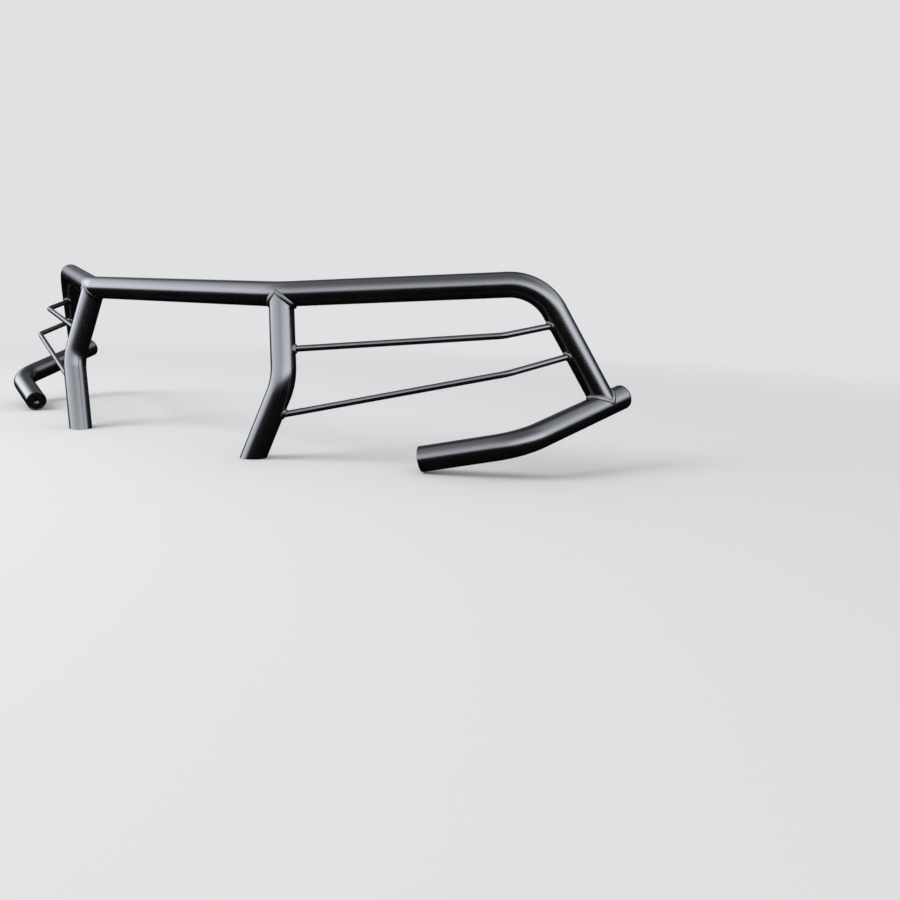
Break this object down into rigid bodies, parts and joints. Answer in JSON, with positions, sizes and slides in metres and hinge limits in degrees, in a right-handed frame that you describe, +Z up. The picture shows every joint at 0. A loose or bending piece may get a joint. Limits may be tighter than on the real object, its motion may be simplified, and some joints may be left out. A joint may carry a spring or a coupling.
{
  "type": "front grille guard",
  "caption": "Wrap-around steel tube guard for the nose of a small utility vehicle: bent hoop, uprights, side bars and thin rods, with tapped mounting ends.",
  "frame": {"origin": "midway between the two uprights' feet, on the plane they stand on", "axes": "+Z up, +X towards the vehicle's left, the guard's front faces -Y; mirror-symmetric about X = 0"},
  "size_m": [1.365, 0.3676, 0.2903],
  "materials": {
    "tube_coat": "satin black powder coat",
    "rod_coat": "satin black powder coat",
    "weld_coat": "satin black powder coat over a rippled weld bead",
    "plug_steel": "powder coated, bare steel in the threads",
    "cap_plastic": "fine grained black plastic"
  },
  "bodies": {
    "root": {"hoop_tube": "tube_coat", "upright_left": "tube_coat", "side_bar_left": "tube_coat", "upper_rod_left": "rod_coat", "lower_rod_left": "rod_coat", "upright_weld_left": "weld_coat", "hoop_leg_weld_left": "weld_coat", "rod_front_welds_left": "weld_coat", "rod_rear_welds_left": "weld_coat", "foot_plug_left": "plug_steel", "side_bar_plug_left": "plug_steel", "end_cap_left": "cap_plastic", "upright_right": "tube_coat", "side_bar_right": "tube_coat", "upper_rod_right": "rod_coat", "lower_rod_right": "rod_coat", "upright_weld_right": "weld_coat", "hoop_leg_weld_right": "weld_coat", "rod_front_welds_right": "weld_coat", "rod_rear_welds_right": "weld_coat", "foot_plug_right": "plug_steel", "side_bar_plug_right": "plug_steel", "end_cap_right": "cap_plastic"}
  },
  "joints": []
}
